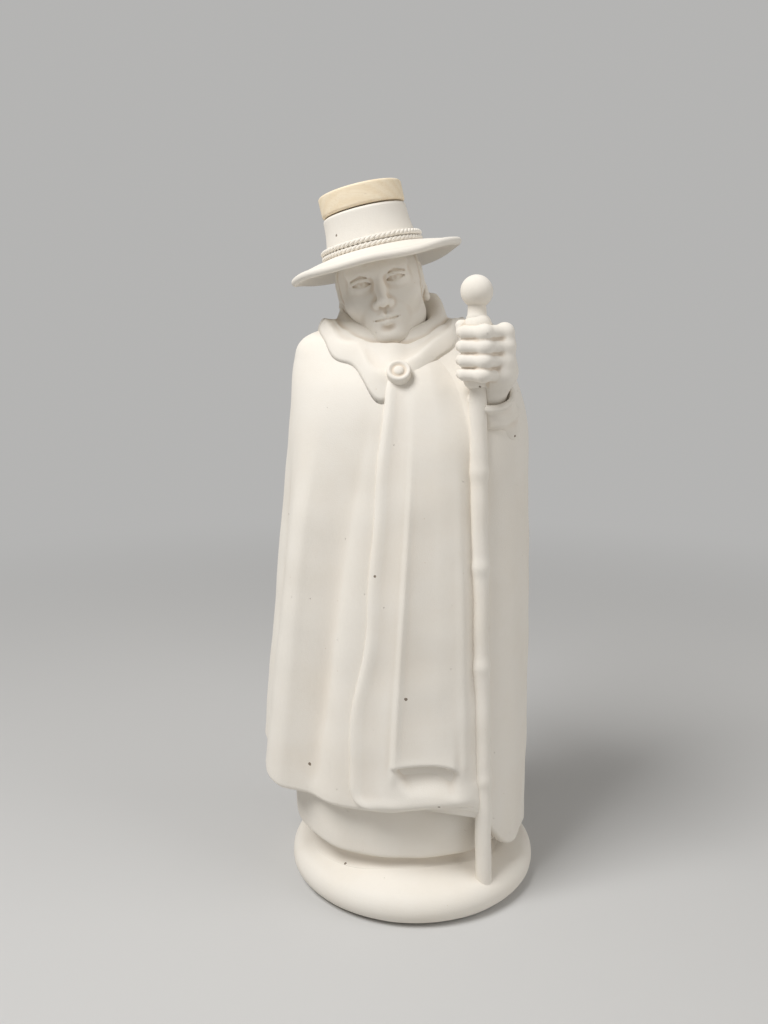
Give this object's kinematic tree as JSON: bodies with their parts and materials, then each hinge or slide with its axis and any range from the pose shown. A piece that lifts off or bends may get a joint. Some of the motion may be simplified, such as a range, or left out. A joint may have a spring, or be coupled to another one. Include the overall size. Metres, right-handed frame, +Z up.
{
  "type": "figural liquor decanter",
  "caption": "Hollow unglazed porcelain decanter in the form of a cloaked, hatted wayfarer on a round plinth; the hat's crown is the bottle neck, closed by a wooden disc on a cork.",
  "frame": {"origin": "centre of the plinth's flat foot, on the surface that the decanter stands on", "axes": "+Z up, -Y the way the figure faces, +X to the viewer's right as the figure is seen from the front"},
  "size_m": [0.1082, 0.096, 0.2636],
  "materials": {
    "bisque_porcelain": "matte",
    "turned_wood": "satin",
    "cork": "matte"
  },
  "bodies": {
    "decanter": {"plinth": "bisque_porcelain", "robe_skirt": "bisque_porcelain", "cloak_body": "bisque_porcelain", "cloak_front_panel": "bisque_porcelain", "hood_collar": "bisque_porcelain", "cloak_clasp": "bisque_porcelain", "head": "bisque_porcelain", "hat": "bisque_porcelain", "hat_band": "bisque_porcelain", "walking_staff": "bisque_porcelain", "sleeve_cuff": "bisque_porcelain", "hand": "bisque_porcelain"},
    "stopper": {"stopper_disc": "turned_wood", "stopper_cork": "cork", "stopper_dowel": "turned_wood"}
  },
  "joints": [
    {"name": "stopper_lift", "type": "slide", "parent": "decanter", "child": "stopper", "axis": [-0.225, 0, 0.9744], "range_m": [0, 0.045]}
  ]
}
